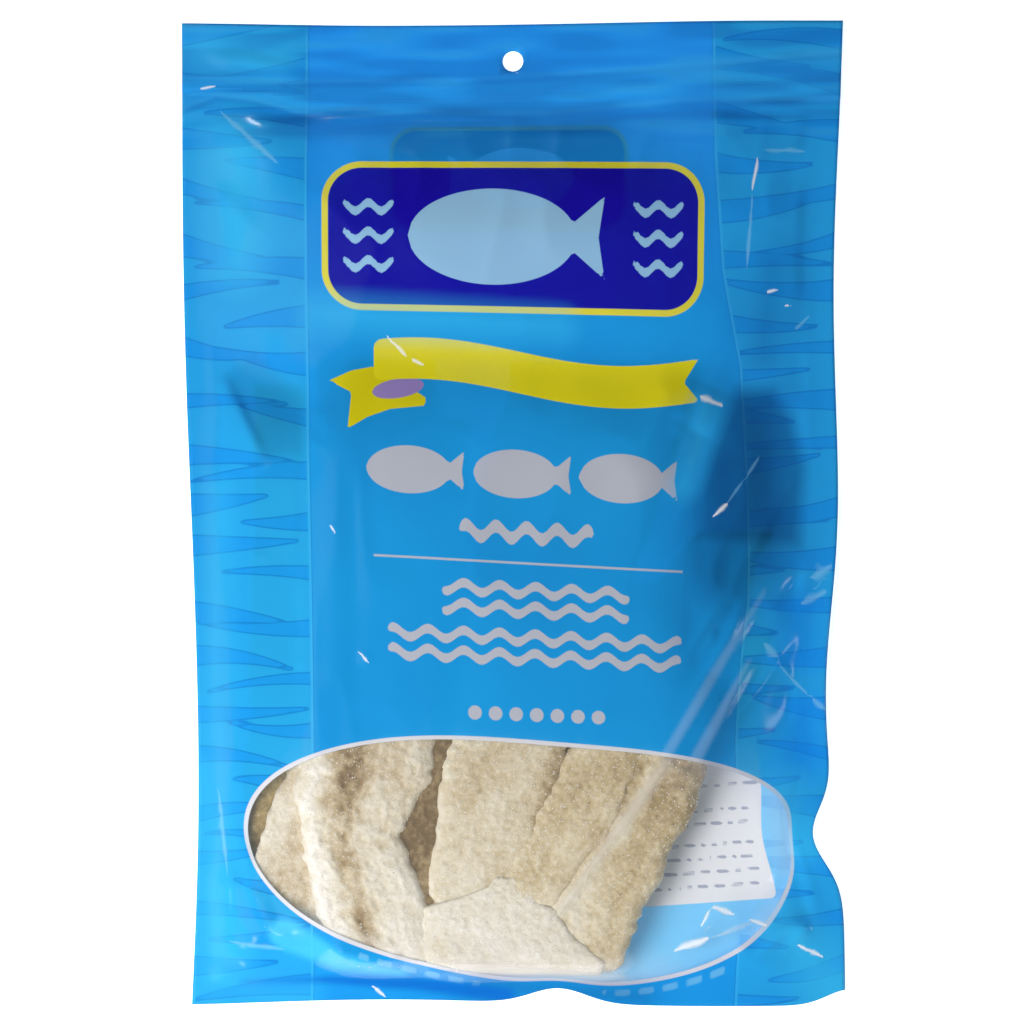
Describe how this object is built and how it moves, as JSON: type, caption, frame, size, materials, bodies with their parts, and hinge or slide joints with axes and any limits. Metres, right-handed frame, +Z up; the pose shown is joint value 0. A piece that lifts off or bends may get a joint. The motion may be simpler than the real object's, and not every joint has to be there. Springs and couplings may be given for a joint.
{
  "type": "sealed pouch of salted fish fillets",
  "caption": "Flat film pouch with a welded rim and a hang hole, lying on its back; salted white fish fillets fill it and show through a clear oval window.",
  "frame": {"origin": "on the floor under the middle of the pouch, which lies on its back", "axes": "+Z up out of the printed front, +Y towards the header with the hang hole, +X to the right as the front is seen"},
  "size_m": [0.2048, 0.3042, 0.0185],
  "materials": {
    "film": "glossy see-through film with blue print",
    "fillet": "dry salted white fish",
    "salt": "coarse salt grains"
  },
  "bodies": {
    "root": {"pouch": "film"}
  },
  "joints": []
}
